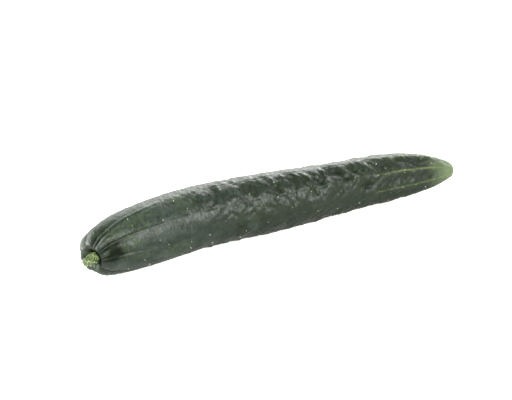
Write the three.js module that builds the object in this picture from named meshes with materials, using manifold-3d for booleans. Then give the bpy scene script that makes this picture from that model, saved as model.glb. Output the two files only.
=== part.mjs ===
// A Japanese cucumber, as picked: one long, slightly bent fruit with a puckered stem end, lumpy skin and
// short pale spines, and the cut stub of its stem. It lies on its belly. +X runs from the stem end to the
// blossom end, +Z is up, and the origin is the middle of the small flat spot that the fruit rests on.
import * as THREE from 'three';
import { mergeVertices } from 'three/addons/utils/BufferGeometryUtils.js';
import Module from 'manifold-3d';

const wasm = await Module();
wasm.setup();

// Driving dimensions, in millimetres and degrees. A distance runs along the fruit from its stem end.
// An angle goes round the fruit: 0 is its +Y side, 90 its top, 180 its -Y side and 270 its belly.
const LENGTH = 215.6;
const REST_DISTANCE = 100;
const FLAT_DEPTH = 0.5;
const ROCKER_RADIUS = 4000;
const AXIS_HEIGHT = 17.2;
const BLOSSOM_DROP = 7.7;
const BLOSSOM_DROP_POWER = 2.85;
const STEM_END_TURN = 27.8;
const STEM_END_TURN_LENGTH = 37;
const BLOSSOM_END_TURN = -6.4;
const BLOSSOM_END_TURN_POWER = 7;
const SWAY = 1.1;
const SWAY_LENGTH = 120;
const SWAY_CREST = 66;
const SWAY_FROM = 20;
const AXIS_STEP = 0.5;

// The pit and the stem in it sit off the middle of the stem end, which is cocked to the same side. The push
// fades out over the shoulder.
const PIT_PUSH = 2.5;
const PIT_PUSH_ANGLE = 148;
const PIT_PUSH_RADII = [4, 13];
const PIT_PUSH_DISTANCES = [6, 20];
const PIT_COCK = 1.1;

// The fruit's outline, as [distance, radius]: from the middle of the pit that holds the stem, over the rim
// and the shoulder, along the body, and round the blossom end to the small scar in its tip.
const FRUIT_OUTLINE = [
  [4.2, 0], [3.9, 1.6], [2.9, 3.3], [1, 4.9], [0, 6.4], [0.5, 8], [2.6, 9.85], [6.5, 12.4],
  [13, 14.2], [24, 15.9], [47, 16.95], [82, 16.6], [118, 15.7], [150, 14.1], [176, 12.8],
  [196, 10.3], [206.5, 7.5], [213, 4.6], [215.4, 2.3], [215.7, 1.2], [215.3, 0],
];
const RIM_RADIUS = 6.4;
const POLE_RADIUS = 7.5;
const FRUIT_RINGS = 80;
const FRUIT_SIDES = 56;
const END_RING_CROWDING = 0.35;

// Eight veins run the whole length. Near the stem each lies in a valley between two lobes, and towards the
// blossom end they are the corners of a faintly eight-sided section.
const VEINS = 8;
const FIRST_VEIN_ANGLE = 86;
const VEIN_WANDER = 3;
const VEIN_WANDER_PHASE = 20;
const VEIN_BEND_LENGTH = 32;
const LOBE_HEIGHT = 0.25;
const VALLEY_DEPTH = 1.7;
const VALLEY_LENGTH = 17;
const VALLEY_ANGLE = 10;
const VEIN_HEIGHT = 0.75;
const VEIN_LENGTH = 24;
const VEIN_WIDTH = 0.9;
const FACET_HEIGHT = 0.4;
const FACET_RADIUS = 12;
const FACET_FROM = 120;
const FACET_FULL = 185;

// Near the stem some veins bend aside: [the vein's grid angle, how far it turns, the reach to either side]
const VEIN_BENDS = [
  [0, 9, 45],
  [45, -4, 45],
  [90, -9, 50],
];

// Swells and hollows as broad as a finger, and lumps: a sum of waves, each with its own length along the
// fruit, number round it and phase
const SWELL_HEIGHT = 0.3;
const SWELL_LENGTH = 13;
const SWELL_TWIST = 2.1;
const SWELL_PHASE = 0.8;
const LUMP_SEED = 5;
const LUMP_WAVES = 16;
const LUMP_HEIGHT = 0.08;
const LUMP_SHORTEST = 9;
const LUMP_LONGEST = 26;
const LUMP_MOST_ROUND = 9;

// Warts, each with a spine on top, and the dents beside them. The skin is smooth near the stem, lumpiest
// past the middle, and calmer again at the blossom end, on the belly and on one smooth stretch of the side.
const WART_SEED = 20;
const WARTS = 150;
const WART_END_MARGIN = 7;
const WART_STRAY = 9;
const WART_STRAY_ANGLE = 30;
const WART_SMALLEST = 0.6;
const WART_LARGEST = 1.2;
const WART_HEIGHT = 0.35;
const WART_WIDTH = 1.6;
const DENT_DEPTH = 0.8;
const DENT_LENGTH = 3;
const DENT_WIDTH = 1.8;
const DENT_OFFSET = 3.6;
const DENT_GONE_SIZE = 1.3;
const DENT_SLANT = 70;
const MARK_REACH = 20;
const LUMPY_FROM = 48;
const LUMPY_FULL = 84;
const CALM_FROM = 165;
const CALM_SHARE = 0.45;
const SMOOTH_SHARE = 0.16;
const BELLY_ANGLE = 270;
const BELLY_HALF_ANGLE = 24;
const SMOOTH_SIDE_ANGLE = 62;
const SMOOTH_SIDE_HALF_ANGLE = 20;
const SMOOTH_SIDE_CALM = 0.8;

// The largest dents and lumps: [distance, angle, rise, half length, half width, slant]
const MAIN_MARKS = [
  [8, 151, -1.5, 5, 3, 0],
  [144, 108, -1.3, 7, 3, 0],
  [139, 132, 0.8, 5.5, 1.8, 50],
  [149, 125, -1, 3, 1.8, 20],
  [153.5, 132, 0.7, 3.2, 2.2, 0],
  [133, 118, -0.9, 4, 2.4, 0],
  [129, 140, -0.6, 4, 3, -30],
  [200, 163, -0.8, 1.7, 1.6, 0],
  [162, 156, -0.7, 2.6, 2.2, 0],
  [91, 138, -0.6, 2, 2.4, 60],
  [76, 141, -0.5, 1.8, 1.6, 0],
  [82, 154, -0.6, 1.8, 1.6, 0],
  [100, 151, -0.6, 2, 1.8, 0],
  [117, 262, -0.4, 5, 3, 0],
  [108, 20, -1, 6, 3.4, 15],
  [126, 345, -0.9, 5, 3, -25],
  [88, 50, -0.8, 5, 2.6, 30],
  [152, 30, -0.9, 6, 2.8, 0],
  [166, 330, -0.7, 4, 2.4, 40],
  [134, 70, -0.8, 4.5, 2.6, -20],
];

// Evenly spread places: the shares of the two directions that each next place moves on by
const SPREAD_ALONG = 0.7548777;
const SPREAD_ROUND = 0.5698403;

// Spines: broken short, so a stub of about a millimetre stands on each wart
const SPINE_RADIUS = 0.36;
const SPINE_HEIGHT = 0.8;
const SPINE_ROOT = 0.7;
const SPINE_SIDES = 3;
const SPINE_CLEARANCE = 0.4;

// The stem's outline, as [distance, radius]: the cut end, the stub, the flare and its foot in the pit
const STEM_OUTLINE = [
  [-5.2, 0], [-5.4, 1.65], [-5.1, 1.9], [-4.3, 1.85], [-2.6, 2.0], [-0.6, 2.5],
  [1.2, 3.1], [2.5, 2.6], [3.4, 1.3], [3.6, 0],
];
const STEM_RINGS = 15;
const STEM_SIDES = 20;
const STEM_FLUTES = 5;
const STEM_FLUTE_SHARE = 0.15;
const STEM_FLUTE_FADE = 3;
const BRISTLE_SEED = 7;
const BRISTLES = 28;
const BRISTLE_STRAY_ANGLE = 10;
const BRISTLE_RADIUS = 0.28;
const BRISTLE_HEIGHT = 0.75;
const BRISTLE_ROOT = 0.4;
const BRISTLE_SIDES = 3;
const BRISTLE_FROM = -0.2;
const BRISTLE_TO = -4.9;

const CURVE_STEPS = 2000;
const GRID_ANGLE_STEPS = 12;
const NORMAL_STEP = 0.5;
const NORMAL_STEP_ANGLE = 2;
const MERGE_DISTANCE = 1e-4;
const GROUND_THICKNESS = 20;

const SKIN = new THREE.MeshStandardMaterial({ color: 0x41543f, roughness: 0.42, metalness: 0 });
const STALK = new THREE.MeshStandardMaterial({ color: 0x8aa360, roughness: 0.7, metalness: 0 });

const radians = THREE.MathUtils.degToRad;
const smoothstep = THREE.MathUtils.smoothstep;

// A repeatable random draw between 0 and 1, the same on every run
const DRAW_FACTOR = 16807;
const DRAW_RANGE = 2147483647;
function drawFrom(seed) {
  let state = seed;
  return () => {
    state = (state * DRAW_FACTOR) % DRAW_RANGE;
    return state / DRAW_RANGE;
  };
}

// The shortest way round from one angle to another, in degrees
function turnBetween(from, to) {
  return THREE.MathUtils.euclideanModulo(to - from + 180, 360) - 180;
}

// The direction of the fruit's axis in plan, in radians from +X
function heading(distance) {
  const past = Math.max(distance, 0);
  const stemEnd = STEM_END_TURN * Math.exp(-past / STEM_END_TURN_LENGTH);
  const blossomEnd = BLOSSOM_END_TURN * (past / LENGTH) ** BLOSSOM_END_TURN_POWER;
  return radians(stemEnd + blossomEnd);
}

// The point of the axis at a distance. Its height keeps the belly nearly straight on the ground.
function axisPoint(distance) {
  const travel = distance - REST_DISTANCE;
  const steps = Math.max(1, Math.ceil(Math.abs(travel) / AXIS_STEP));
  const point = new THREE.Vector3();
  for (let i = 0; i < steps; i += 1) {
    const middle = heading(REST_DISTANCE + travel * ((i + 0.5) / steps));
    point.x += (travel / steps) * Math.cos(middle);
    point.y += (travel / steps) * Math.sin(middle);
  }
  const swing = Math.cos((2 * Math.PI * (distance - SWAY_CREST)) / SWAY_LENGTH);
  point.y += SWAY * smoothstep(distance, SWAY_FROM, SWAY_CREST) * swing;
  const past = Math.max(distance, 0) / LENGTH;
  point.z = AXIS_HEIGHT - BLOSSOM_DROP * past ** BLOSSOM_DROP_POWER - FLAT_DEPTH
    + (travel * travel) / (2 * ROCKER_RADIUS);
  return point;
}

// A point at a radius from the axis, in the plane across the axis at that distance
function around(distance, radius, angle) {
  const turn = heading(distance);
  const nearPit = 1 - smoothstep(distance, ...PIT_PUSH_DISTANCES);
  const push = PIT_PUSH * nearPit * (1 - smoothstep(radius, ...PIT_PUSH_RADII));
  const cock = PIT_COCK * nearPit * Math.min(1, radius / RIM_RADIUS)
    * Math.cos(radians(angle - PIT_PUSH_ANGLE));
  const sideways = radius * Math.cos(radians(angle)) + push * Math.cos(radians(PIT_PUSH_ANGLE));
  const point = axisPoint(distance + cock);
  point.x -= sideways * Math.sin(turn);
  point.y += sideways * Math.cos(turn);
  point.z += radius * Math.sin(radians(angle)) + push * Math.sin(radians(PIT_PUSH_ANGLE));
  return point;
}

function splineThrough(outline) {
  const curve = new THREE.SplineCurve(outline.map(([along, out]) => new THREE.Vector2(out, along)));
  curve.arcLengthDivisions = CURVE_STEPS;
  return curve;
}

const fruitCurve = splineThrough(FRUIT_OUTLINE);
const fruitRadii = fruitCurve.getPoints(CURVE_STEPS).filter((point) => point.x > RIM_RADIUS);

// The smooth body's radius at a distance, outside the pit
function bodyRadius(distance) {
  const next = fruitRadii.findIndex((point) => point.y >= distance);
  return fruitRadii[next < 0 ? fruitRadii.length - 1 : next].x;
}

// How lumpy the skin is at a place, from 0 to 1
function lumpiness(distance, angle) {
  const rise = SMOOTH_SHARE + (1 - SMOOTH_SHARE) * smoothstep(distance, LUMPY_FROM, LUMPY_FULL);
  const calm = 1 - (1 - CALM_SHARE) * smoothstep(distance, CALM_FROM, LENGTH);
  const belly = Math.exp(-((turnBetween(BELLY_ANGLE, angle) / BELLY_HALF_ANGLE) ** 2));
  const fromSmooth = turnBetween(SMOOTH_SIDE_ANGLE, angle) / SMOOTH_SIDE_HALF_ANGLE;
  const smoothSide = 1 - SMOOTH_SIDE_CALM * Math.exp(-(fromSmooth ** 2));
  return rise * calm * (1 - belly) * smoothSide;
}

const lumpDraw = drawFrom(LUMP_SEED);
const lumpWaves = Array.from({ length: LUMP_WAVES }, () => ({
  length: LUMP_SHORTEST + (LUMP_LONGEST - LUMP_SHORTEST) * lumpDraw(),
  round: Math.round(LUMP_MOST_ROUND * (2 * lumpDraw() - 1)),
  phase: 2 * Math.PI * lumpDraw(),
}));

// The height of the lumps at a place
function lumpRelief(distance, angle) {
  let height = 0;
  for (const { length, round, phase } of lumpWaves) {
    height += LUMP_HEIGHT * Math.sin((2 * Math.PI * distance) / length + round * radians(angle) + phase);
  }
  return height;
}

// Warts are spread evenly over the skin by the golden-ratio rule in two directions, each nudged by a draw,
// and each has its dent on one side
function warts() {
  const draw = drawFrom(WART_SEED);
  const marks = [];
  for (let i = 1; i <= WARTS; i += 1) {
    const spread = WART_END_MARGIN + (LENGTH - 2 * WART_END_MARGIN) * ((i * SPREAD_ALONG) % 1);
    const distance = spread + WART_STRAY * (draw() - 0.5);
    const angle = 360 * ((i * SPREAD_ROUND) % 1) + WART_STRAY_ANGLE * (draw() - 0.5);
    const size = WART_SMALLEST + (WART_LARGEST - WART_SMALLEST) * draw();
    const side = 360 * draw();
    const slant = DENT_SLANT * (draw() - 0.5);
    const lumpy = lumpiness(distance, angle);
    marks.push({
      distance,
      angle,
      rise: WART_HEIGHT * size * lumpy,
      length: WART_WIDTH * size,
      width: WART_WIDTH,
      slant,
      hasSpine: true,
    });
    const across = THREE.MathUtils.radToDeg((DENT_OFFSET * Math.sin(radians(side))) / bodyRadius(distance));
    marks.push({
      distance: distance + DENT_OFFSET * Math.cos(radians(side)),
      angle: angle + across,
      rise: -DENT_DEPTH * (DENT_GONE_SIZE - size) * lumpy,
      length: DENT_LENGTH * size,
      width: DENT_WIDTH * size,
      slant,
      hasSpine: false,
    });
  }
  return marks;
}

const marks = [
  ...warts(),
  ...MAIN_MARKS.map(([distance, angle, rise, length, width, slant]) => (
    { distance, angle, rise, length, width, slant, hasSpine: false })),
].map((mark) => ({ ...mark, radius: bodyRadius(mark.distance) }));

// The height of all warts and dents at a place
function markRelief(distance, angle) {
  let height = 0;
  for (const mark of marks) {
    const along = distance - mark.distance;
    const across = radians(turnBetween(mark.angle, angle)) * mark.radius;
    if (Math.abs(along) < MARK_REACH && Math.abs(across) < MARK_REACH) {
      const cos = Math.cos(radians(mark.slant));
      const sin = Math.sin(radians(mark.slant));
      const u = (along * cos + across * sin) / mark.length;
      const v = (across * cos - along * sin) / mark.width;
      height += mark.rise * Math.exp(-(u * u + v * v));
    }
  }
  return height;
}

// How far the skin stands out from the smooth body at a place. The grid's angle runs evenly from vein to
// vein, so that rows of its points follow the veins.
function relief(distance, gridAngle, radius) {
  const spacing = 360 / VEINS;
  const fromVein = THREE.MathUtils.euclideanModulo(gridAngle + spacing / 2, spacing) - spacing / 2;
  const nearStem = Math.exp(-((distance / VALLEY_LENGTH) ** 2));
  const lobe = nearStem * (LOBE_HEIGHT - VALLEY_DEPTH * Math.exp(-((fromVein / VALLEY_ANGLE) ** 2)));
  const veinAcross = (radians(fromVein) * radius) / VEIN_WIDTH;
  const vein = VEIN_HEIGHT * Math.exp(-distance / VEIN_LENGTH) * Math.exp(-(veinAcross ** 2));
  const facet = FACET_HEIGHT * smoothstep(distance, FACET_FROM, FACET_FULL)
    * Math.min(1, radius / FACET_RADIUS) * Math.cos(radians(VEINS * fromVein));
  const angle = skinAngle(distance, gridAngle);
  const twist = SWELL_TWIST * Math.cos(radians(angle) + SWELL_PHASE);
  const swell = SWELL_HEIGHT * Math.sin(distance / SWELL_LENGTH + twist);
  const uneven = lumpiness(distance, angle) * (swell + lumpRelief(distance, angle));
  return lobe + vein + facet + uneven + markRelief(distance, angle);
}

// The angle on the skin for an angle of the grid: the veins aren't spaced quite evenly round the fruit
function skinAngle(distance, gridAngle) {
  const wander = VEIN_WANDER * Math.sin(radians(gridAngle * 2 + VEIN_WANDER_PHASE));
  const bend = Math.exp(-((distance / VEIN_BEND_LENGTH) ** 2));
  let angle = FIRST_VEIN_ANGLE + gridAngle + wander;
  for (const [vein, turn, reach] of VEIN_BENDS) {
    const off = Math.min(1, Math.abs(turnBetween(vein, gridAngle)) / reach);
    angle += turn * bend * (0.5 + 0.5 * Math.cos(Math.PI * off));
  }
  return angle;
}

// The other way round: the grid's angle for an angle on the skin, closed in on step by step
function gridAngleAt(distance, angle) {
  let gridAngle = angle - FIRST_VEIN_ANGLE;
  for (let i = 0; i < GRID_ANGLE_STEPS; i += 1) {
    gridAngle -= turnBetween(angle, skinAngle(distance, gridAngle));
  }
  return gridAngle;
}

// The skin's point for a point of the smooth outline. Relief fades to nothing at the two poles.
function skinPoint(distance, radius, gridAngle) {
  const fade = smoothstep(radius, 0, POLE_RADIUS);
  const out = radius + fade * relief(distance, gridAngle, radius);
  return around(distance, out, skinAngle(distance, gridAngle));
}

// Outline points for the rings, closer together at both ends, where the surface curves most
function ringPoints(curve, rings, crowding) {
  const points = [];
  for (let i = 0; i <= rings; i += 1) {
    const share = i / rings;
    const eased = share - (crowding * Math.sin(2 * Math.PI * share)) / (2 * Math.PI);
    points.push(curve.getPointAt(eased));
  }
  points[0].x = 0;
  points[rings].x = 0;
  return points;
}

// A closed solid from a geometry: corners that coincide are merged and triangles with no area dropped
function solidFrom(geometry) {
  geometry.deleteAttribute('normal');
  geometry.deleteAttribute('uv');
  const merged = mergeVertices(geometry, MERGE_DISTANCE);
  const index = merged.getIndex().array;
  const kept = [];
  for (let i = 0; i < index.length; i += 3) {
    const [a, b, c] = [index[i], index[i + 1], index[i + 2]];
    if (a !== b && b !== c && c !== a) {
      kept.push(a, b, c);
    }
  }
  return new wasm.Manifold(new wasm.Mesh({
    numProp: 3,
    vertProperties: new Float32Array(merged.getAttribute('position').array),
    triVerts: new Uint32Array(kept),
  }));
}

// A body turned from its outline about the curved axis, each point then placed by its own rule
function turnedSolid(curve, rings, crowding, sides, place) {
  const lathe = new THREE.LatheGeometry(ringPoints(curve, rings, crowding), sides);
  lathe.deleteAttribute('normal');
  lathe.deleteAttribute('uv');
  const geometry = mergeVertices(lathe, MERGE_DISTANCE);
  const position = geometry.getAttribute('position');
  for (let i = 0; i < position.count; i += 1) {
    const radius = Math.hypot(position.getX(i), position.getZ(i));
    const angle = THREE.MathUtils.radToDeg(Math.atan2(position.getX(i), position.getZ(i)));
    const point = place(position.getY(i), radius, angle);
    position.setXYZ(i, point.x, point.y, point.z);
  }
  return solidFrom(geometry);
}

// A pointed stub with its root sunk in the surface, standing along the surface's normal
function thorn(radius, height, root, sides, point, normal) {
  const cone = new THREE.ConeGeometry(radius, height + root, sides);
  const place = new THREE.Object3D();
  place.quaternion.setFromUnitVectors(new THREE.Vector3(0, 1, 0), normal);
  place.position.copy(point).addScaledVector(normal, (height - root) / 2);
  place.updateMatrix();
  cone.applyMatrix4(place.matrix);
  return solidFrom(cone);
}

// The outward normal of a surface given by a rule, from two short steps on it
function normalAt(surface, distance, angle) {
  const here = surface(distance, angle);
  const along = surface(distance + NORMAL_STEP, angle).sub(here);
  const across = surface(distance, angle + NORMAL_STEP_ANGLE).sub(here);
  return across.cross(along).normalize();
}

function fruit() {
  let body = turnedSolid(fruitCurve, FRUIT_RINGS, END_RING_CROWDING, FRUIT_SIDES, skinPoint);
  const skin = (distance, angle) => {
    const radius = bodyRadius(distance);
    return around(distance, radius + relief(distance, gridAngleAt(distance, angle), radius), angle);
  };
  for (const mark of marks) {
    const foot = skin(mark.distance, mark.angle);
    if (mark.hasSpine && foot.z > SPINE_HEIGHT + SPINE_CLEARANCE) {
      const normal = normalAt(skin, mark.distance, mark.angle);
      body = body.add(thorn(SPINE_RADIUS, SPINE_HEIGHT, SPINE_ROOT, SPINE_SIDES, foot, normal));
    }
  }
  const ground = new THREE.BoxGeometry(2 * LENGTH, 2 * LENGTH, GROUND_THICKNESS);
  ground.translate(0, 0, -GROUND_THICKNESS / 2);
  return body.subtract(solidFrom(ground));
}

function stem() {
  const surface = (distance, radius, angle) => {
    const out = Math.max(0, -distance);
    const depth = STEM_FLUTE_SHARE * smoothstep(out, 0, STEM_FLUTE_FADE);
    const flute = 1 + depth * Math.cos(radians(STEM_FLUTES * angle));
    return around(distance, radius * flute, angle);
  };
  const curve = splineThrough(STEM_OUTLINE);
  const cutRadius = STEM_OUTLINE[1][1];
  const radii = curve.getPoints(CURVE_STEPS).filter((point) => point.y < 0 && point.x > cutRadius);
  const side = (distance, angle) => {
    const next = radii.findIndex((point) => point.y >= distance);
    return surface(distance, radii[next < 0 ? radii.length - 1 : next].x, angle);
  };
  let body = turnedSolid(curve, STEM_RINGS, 0, STEM_SIDES, surface);
  const draw = drawFrom(BRISTLE_SEED);
  for (let i = 1; i <= BRISTLES; i += 1) {
    const distance = BRISTLE_FROM + (BRISTLE_TO - BRISTLE_FROM) * ((i * SPREAD_ALONG) % 1);
    const angle = 360 * ((i * SPREAD_ROUND) % 1) + BRISTLE_STRAY_ANGLE * draw();
    const foot = side(distance, angle);
    const normal = normalAt(side, distance, angle);
    body = body.add(thorn(BRISTLE_RADIUS, BRISTLE_HEIGHT, BRISTLE_ROOT, BRISTLE_SIDES, foot, normal));
  }
  return body;
}

function meshOf(name, solid, material) {
  const { vertProperties, triVerts } = solid.getMesh();
  const geometry = new THREE.BufferGeometry();
  geometry.setAttribute('position', new THREE.BufferAttribute(new Float32Array(vertProperties), 3));
  geometry.setIndex(new THREE.BufferAttribute(new Uint32Array(triVerts), 1));
  geometry.computeVertexNormals();
  const mesh = new THREE.Mesh(geometry, material);
  mesh.name = name;
  return mesh;
}

const cucumber = new THREE.Group();
cucumber.add(meshOf('fruit', fruit(), SKIN));
cucumber.add(meshOf('stem', stem(), STALK));

export default cucumber;
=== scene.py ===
import math

import bpy
import numpy as np
from mathutils import Matrix, Vector


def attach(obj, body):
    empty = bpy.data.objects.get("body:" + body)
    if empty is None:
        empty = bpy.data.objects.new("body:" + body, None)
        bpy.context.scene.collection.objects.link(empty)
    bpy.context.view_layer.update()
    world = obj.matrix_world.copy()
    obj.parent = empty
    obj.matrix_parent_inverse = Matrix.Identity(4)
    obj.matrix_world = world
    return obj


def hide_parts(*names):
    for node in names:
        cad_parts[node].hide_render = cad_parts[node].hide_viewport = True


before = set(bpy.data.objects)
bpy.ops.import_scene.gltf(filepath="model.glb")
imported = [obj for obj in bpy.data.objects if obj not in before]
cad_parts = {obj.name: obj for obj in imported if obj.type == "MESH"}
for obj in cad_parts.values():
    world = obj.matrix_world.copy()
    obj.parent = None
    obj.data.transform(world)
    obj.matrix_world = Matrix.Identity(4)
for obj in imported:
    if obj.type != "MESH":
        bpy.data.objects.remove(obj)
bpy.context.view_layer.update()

# The view: the fruit lies with its stem end towards the lower left and is seen from 36 degrees above the
# table through a long lens. The point in the middle of the belly, half way up, sits at REST_PIXEL.
MM = 0.001
FRAME_WIDTH = 512
FRAME_HEIGHT = 400
SENSOR_WIDTH = 36
CAMERA_AZIMUTH = -21.1
CAMERA_ELEVATION = 36
CAMERA_DISTANCE = 1.1
PIXELS_PER_MM = 1.874
REST_PIXEL = (256.0, 204.0)
MIDDLE_HEIGHT = 16 * MM


def direction(azimuth, elevation):
    """The unit vector from the object to a camera or light at these angles, in degrees."""
    a = math.radians(azimuth)
    e = math.radians(elevation)
    return Vector((math.sin(a) * math.cos(e), -math.cos(a) * math.cos(e), math.sin(e)))


back = direction(CAMERA_AZIMUTH, CAMERA_ELEVATION)
right = Vector((0, 0, 1)).cross(back).normalized()
up = back.cross(right)
to_the_left = (REST_PIXEL[0] - FRAME_WIDTH / 2) / PIXELS_PER_MM * MM
higher = (REST_PIXEL[1] - FRAME_HEIGHT / 2) / PIXELS_PER_MM * MM
bpy.ops.object.camera_add()
camera = bpy.context.object
camera.location = (
    Vector((0, 0, MIDDLE_HEIGHT)) + back * CAMERA_DISTANCE - right * to_the_left + up * higher
)
camera.rotation_euler = back.to_track_quat("Z", "Y").to_euler()
camera.data.sensor_width = SENSOR_WIDTH
camera.data.lens = SENSOR_WIDTH * PIXELS_PER_MM / MM * CAMERA_DISTANCE / FRAME_WIDTH
bpy.context.scene.camera = camera
bpy.context.scene.view_settings.view_transform = "Standard"


# The table: a wide sheet of smooth white paper. A glow that only the camera sees makes it plain white, as an
# overexposed studio ground is, while it throws back only the light that falls on it.
PAPER_WHITE = "#dfdfdd"
PAPER_SIZE = 6.0
PAPER_GLOW = 1.2
PAPER_ROUGHNESS = 0.75
PAPER_SPECULAR = 0.2


def linear(hex_colour):
    """An sRGB hex colour as linear RGBA."""
    channels = [int(hex_colour[i : i + 2], 16) / 255 for i in (1, 3, 5)]
    return tuple(c / 12.92 if c <= 0.04045 else ((c + 0.055) / 1.055) ** 2.4 for c in channels) + (1.0,)


def new_material(name):
    """A material with one Principled shader, returned with its node tree and that shader."""
    material = bpy.data.materials.new(name)
    material.use_nodes = True
    return material, material.node_tree, material.node_tree.nodes["Principled BSDF"]


def add_node(tree, kind, settings=None, **inputs):
    """Adds a node, with its settings, and its inputs set to a value or linked from a socket."""
    node = tree.nodes.new(kind)
    for key, value in (settings or {}).items():
        setattr(node, key, value)
    for key, value in inputs.items():
        socket = node.inputs[int(key[1:]) if key[0] == "i" and key[1:].isdigit() else key.replace("_", " ")]
        if isinstance(value, bpy.types.NodeSocket):
            tree.links.new(value, socket)
        else:
            socket.default_value = value
    return node


def start_fresh():
    """Deselects everything, so that an operator only acts on the piece that is added next."""
    if bpy.context.object and bpy.context.object.mode != "OBJECT":
        bpy.ops.object.mode_set(mode="OBJECT")
    bpy.ops.object.select_all(action="DESELECT")


start_fresh()
bpy.ops.mesh.primitive_plane_add(size=PAPER_SIZE, location=(0, 0, 0))
table = bpy.context.object
table.name = "table"
paper, paper_tree, paper_shader = new_material("smooth_white_paper")
paper_shader.inputs["Base Color"].default_value = linear(PAPER_WHITE)
paper_shader.inputs["Roughness"].default_value = PAPER_ROUGHNESS
paper_shader.inputs["Specular IOR Level"].default_value = PAPER_SPECULAR
paper_shader.inputs["Emission Color"].default_value = linear(PAPER_WHITE)
seen_directly = add_node(paper_tree, "ShaderNodeLightPath").outputs["Is Camera Ray"]
paper_glow = add_node(
    paper_tree, "ShaderNodeMath", {"operation": "MULTIPLY"}, i0=seen_directly, i1=PAPER_GLOW
).outputs[0]
paper_tree.links.new(paper_glow, paper_shader.inputs["Emission Strength"])
table.data.materials.append(paper)


# The light: a dim white tent that is brighter low behind the fruit, a softbox beside the camera that draws
# the long soft highlight down the fruit, a low one behind for the rim of the blossom half, and one on the
# left for the lobes of the stem end.
TENT_AZIMUTH = 205
TENT_DIM = 0.1
TENT_BRIGHT = 3.2
# The bright part fades sideways between two cosines of the turn from its middle, and upwards between two
# heights of the direction, where 1 is straight up
TENT_TURN = (0.0, 0.75)
TENT_RISE = (0.15, 0.8)
# Each softbox: name, azimuth, elevation, distance, size and power
SOFTBOXES = [
    ("softbox", 18, 43, 1.7, (0.9, 0.26), 43),
    ("back_softbox", 138, 14, 1.2, (1.2, 0.6), 15),
    ("side_softbox", -122, 18, 1.2, (0.9, 0.5), 27),
]

for name, azimuth, elevation, distance, size, power in SOFTBOXES:
    softbox_way = direction(azimuth, elevation)
    bpy.ops.object.light_add(type="AREA", location=softbox_way * distance)
    softbox = bpy.context.object
    softbox.name = name
    softbox.rotation_euler = softbox_way.to_track_quat("Z", "Y").to_euler()
    softbox.data.shape = "RECTANGLE"
    softbox.data.size, softbox.data.size_y = size
    softbox.data.energy = power

tent = bpy.data.worlds.new("white_tent")
tent.use_nodes = True
tent_way = add_node(tent.node_tree, "ShaderNodeTexCoord").outputs["Generated"]
toward_back = add_node(
    tent.node_tree, "ShaderNodeVectorMath", {"operation": "DOT_PRODUCT"},
    i0=tent_way, i1=tuple(direction(TENT_AZIMUTH, 0)),
).outputs["Value"]
upward = add_node(tent.node_tree, "ShaderNodeSeparateXYZ", Vector=tent_way).outputs["Z"]
behind = add_node(
    tent.node_tree, "ShaderNodeMapRange", {"interpolation_type": "SMOOTHSTEP"},
    Value=toward_back, From_Min=TENT_TURN[0], From_Max=TENT_TURN[1], To_Min=0.0, To_Max=TENT_BRIGHT,
).outputs["Result"]
low = add_node(
    tent.node_tree, "ShaderNodeMapRange", {"interpolation_type": "SMOOTHSTEP"},
    Value=upward, From_Min=TENT_RISE[0], From_Max=TENT_RISE[1], To_Min=1.0, To_Max=0.0,
).outputs["Result"]
tent_strength = add_node(
    tent.node_tree, "ShaderNodeMath", {"operation": "MULTIPLY_ADD"}, i0=behind, i1=low, i2=TENT_DIM,
)
tent_light = tent.node_tree.nodes["Background"]
tent_light.inputs["Color"].default_value = (1, 1, 1, 1)
tent.node_tree.links.new(tent_strength.outputs[0], tent_light.inputs["Strength"])
bpy.context.scene.world = tent


# The skin: the fruit's whole outside, grown in one piece. Its outline is spun about a straight axis, then
# each point is laid on the bent axis with its share of the veins, lobes, warts and dents. A distance is in
# millimetres from the stem end, and an angle goes round: 90 is the top, 180 the -Y side and 270 the belly.

# The bent axis, and how the pit of the stem is pushed aside and cocked
LENGTH = 215.6
REST_DISTANCE = 100
FLAT_DEPTH = 0.5
ROCKER_RADIUS = 4000
AXIS_HEIGHT = 17.2
BLOSSOM_DROP = 7.7
BLOSSOM_DROP_POWER = 2.85
STEM_END_TURN = 27.8
STEM_END_TURN_LENGTH = 37
BLOSSOM_END_TURN = -6.4
BLOSSOM_END_TURN_POWER = 7
SWAY = 1.1
SWAY_LENGTH = 120
SWAY_CREST = 66
SWAY_FROM = 20
AXIS_STEP = 0.25
AXIS_BEFORE = 12
AXIS_AFTER = 6
PIT_PUSH = 2.5
PIT_PUSH_ANGLE = 148
PIT_PUSH_RADII = (4, 13)
PIT_PUSH_DISTANCES = (6, 20)
PIT_COCK = 1.1
# The outline, as a distance and a radius each, from the bottom of the pit to the blossom end's scar
FRUIT_OUTLINE = [
    (4.2, 0), (3.9, 1.6), (2.9, 3.3), (1, 4.9), (0, 6.4), (0.5, 8), (2.6, 9.85), (6.5, 12.4),
    (13, 14.2), (24, 15.9), (47, 16.95), (82, 16.6), (118, 15.7), (150, 14.1), (176, 12.8),
    (196, 10.3), (206.5, 7.5), (213, 4.6), (215.4, 2.3), (215.7, 1.2), (215.3, 0),
]
RIM_RADIUS = 6.4
SCAR_RADIUS = 1.3
POLE_RADIUS = 7.5
FRUIT_RINGS = 92
FRUIT_SIDES = 64
SUBDIVISIONS = 2
OUTLINE_STEPS = 100
END_RING_CROWDING = 0.35
# The veins, which run in valleys between lobes at the stem end and on the edges of flats at the other end
VEINS = 8
FIRST_VEIN_ANGLE = 86
VEIN_WANDER = 3
VEIN_WANDER_PHASE = 20
VEIN_BEND_LENGTH = 32
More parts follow.
